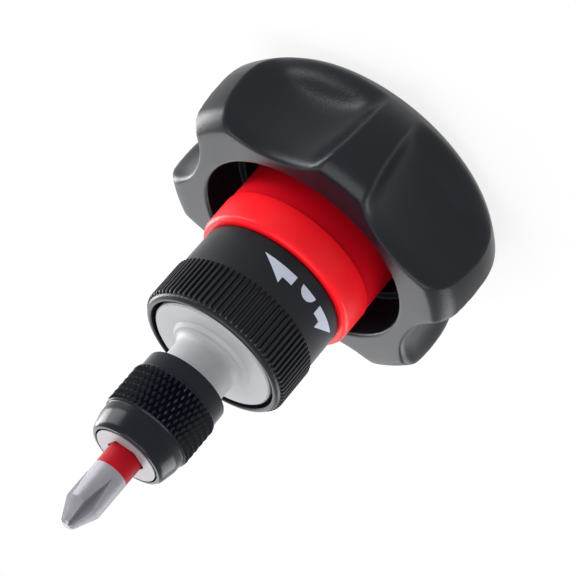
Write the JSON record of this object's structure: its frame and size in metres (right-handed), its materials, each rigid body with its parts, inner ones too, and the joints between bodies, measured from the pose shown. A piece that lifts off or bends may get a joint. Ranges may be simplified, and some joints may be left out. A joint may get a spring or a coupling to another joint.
{
  "type": "ratcheting screwdriver",
  "caption": "Stubby ratcheting screwdriver with a scooped palm knob, a three-position direction ring, a sliding quick-change hex bit chuck and a cross-recess bit.",
  "frame": {"origin": "centre of the flat end of the knob, where the tool stands", "axes": "+Z along the tool's axis from the knob towards the bit's tip; one ridge of the knob points to -Y"},
  "size_m": [0.0576, 0.062, 0.0877],
  "materials": {
    "knob_black": "satin",
    "cap_black": "satin",
    "collar_red": "gloss",
    "ring_black": "satin",
    "mark_white": "matt",
    "zinc_steel": "satin",
    "housing_steel": "satin",
    "bronze": "satin",
    "spring_steel": "satin",
    "hard_steel": "satin",
    "satin_nickel": "satin",
    "sleeve_black": "black oxide",
    "magnet_grey": "satin",
    "bright_steel": "polished",
    "bit_steel": "satin",
    "band_red": "gloss"
  },
  "bodies": {
    "handle": {"knob_shell": "knob_black", "end_cap": "cap_black", "handle_screws": "zinc_steel", "red_collar": "collar_red", "ratchet_housing": "housing_steel", "front_bush": "bronze", "rear_plate": "housing_steel", "thrust_washer": "bronze", "ring_circlip": "spring_steel", "pawl_pin_left": "hard_steel", "pawl_pin_right": "hard_steel", "pawl_leaf_left": "spring_steel", "pawl_leaf_right": "spring_steel", "detent_ball": "bright_steel", "detent_spring": "spring_steel"},
    "selector": {"selector_ring": "ring_black", "direction_marks": "mark_white"},
    "pawl_left": {"pawl_left": "hard_steel"},
    "pawl_right": {"pawl_right": "hard_steel"},
    "spindle": {"spindle": "satin_nickel", "ratchet_gear": "hard_steel", "drive_key": "hard_steel", "spindle_circlip": "spring_steel", "spring_washer": "zinc_steel", "sleeve_spring": "spring_steel", "magnet": "magnet_grey", "nose_ring": "bright_steel"},
    "chuck_sleeve": {"chuck_sleeve": "sleeve_black"},
    "lock_ball": {"lock_ball": "bright_steel"},
    "bit": {"bit": "bit_steel", "bit_band": "band_red"}
  },
  "joints": [
    {"name": "spindle_turn", "type": "hinge", "parent": "handle", "child": "spindle", "pos_m": [0, 0, 0.0443], "axis": [0, 0, 1], "continuous": true},
    {"name": "selector_turn", "type": "hinge", "parent": "handle", "child": "selector", "pos_m": [0, 0, 0.038], "axis": [0, 0, 1], "range_deg": [-27.5, 27.5]},
    {"name": "pawl_left_rock", "type": "hinge", "parent": "handle", "child": "pawl_left", "pos_m": [-0.00453, 0.00801, 0.0365], "axis": [0, 0, 1], "range_deg": [-6, 6]},
    {"name": "pawl_right_rock", "type": "hinge", "parent": "handle", "child": "pawl_right", "pos_m": [0.00917, 0.00072, 0.0365], "axis": [0, 0, 1], "range_deg": [-6, 6]},
    {"name": "sleeve_slide", "type": "slide", "parent": "spindle", "child": "chuck_sleeve", "axis": [0, 0, -1], "range_m": [0, 0.002], "stiffness_N_per_m": 300, "springref_m": -0.005, "deforming": ["sleeve_spring"]},
    {"name": "ball_slide", "type": "slide", "parent": "spindle", "child": "lock_ball", "axis": [0.7193, 0.6947, 0], "range_m": [0, 0.0005]},
    {"name": "bit_slide", "type": "slide", "parent": "spindle", "child": "bit", "axis": [0, 0, 1], "range_m": [0, 0.01]}
  ],
  "couplings": [
    {"joint": "pawl_left_rock", "follows": "selector_turn", "ratio": 0.218},
    {"joint": "pawl_right_rock", "follows": "selector_turn", "ratio": 0.218},
    {"joint": "ball_slide", "follows": "sleeve_slide", "ratio": 0.25}
  ]
}
